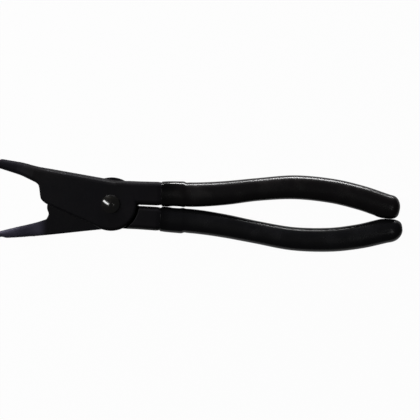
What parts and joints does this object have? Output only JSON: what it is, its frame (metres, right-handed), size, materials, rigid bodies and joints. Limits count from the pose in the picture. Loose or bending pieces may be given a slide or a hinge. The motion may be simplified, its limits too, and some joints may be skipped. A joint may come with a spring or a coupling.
{
  "type": "snap ring pliers",
  "caption": "Black snap ring pliers with a lapped rivet joint, spreading jaws with round tips and sleeved handles.",
  "frame": {"origin": "on the rivet's axis, in the flat back that the tool lies on", "axes": "+X along the closed handles, away from the jaws; +Y towards the upper handle; +Z out of the front, along the rivet"},
  "size_m": [0.2308, 0.0454, 0.0125],
  "materials": {
    "forged_steel": "black oxide over a drop forging, satin",
    "rivet_steel": "black oxide, worn on the dome",
    "grip_vinyl": "glossy black dipped vinyl",
    "tip_steel": "hardened and darkened, worn"
  },
  "bodies": {
    "rear_lever": {"rear_half": "forged_steel", "pivot_rivet": "rivet_steel", "lower_grip": "grip_vinyl", "lower_tip": "tip_steel"},
    "front_lever": {"front_half": "forged_steel", "upper_grip": "grip_vinyl", "upper_tip": "tip_steel"}
  },
  "joints": [
    {"name": "rivet_pivot", "type": "hinge", "parent": "rear_lever", "child": "front_lever", "pos_m": [0, 0, 0.005], "axis": [0, 0, 1], "range_deg": [0, 29.5]}
  ]
}
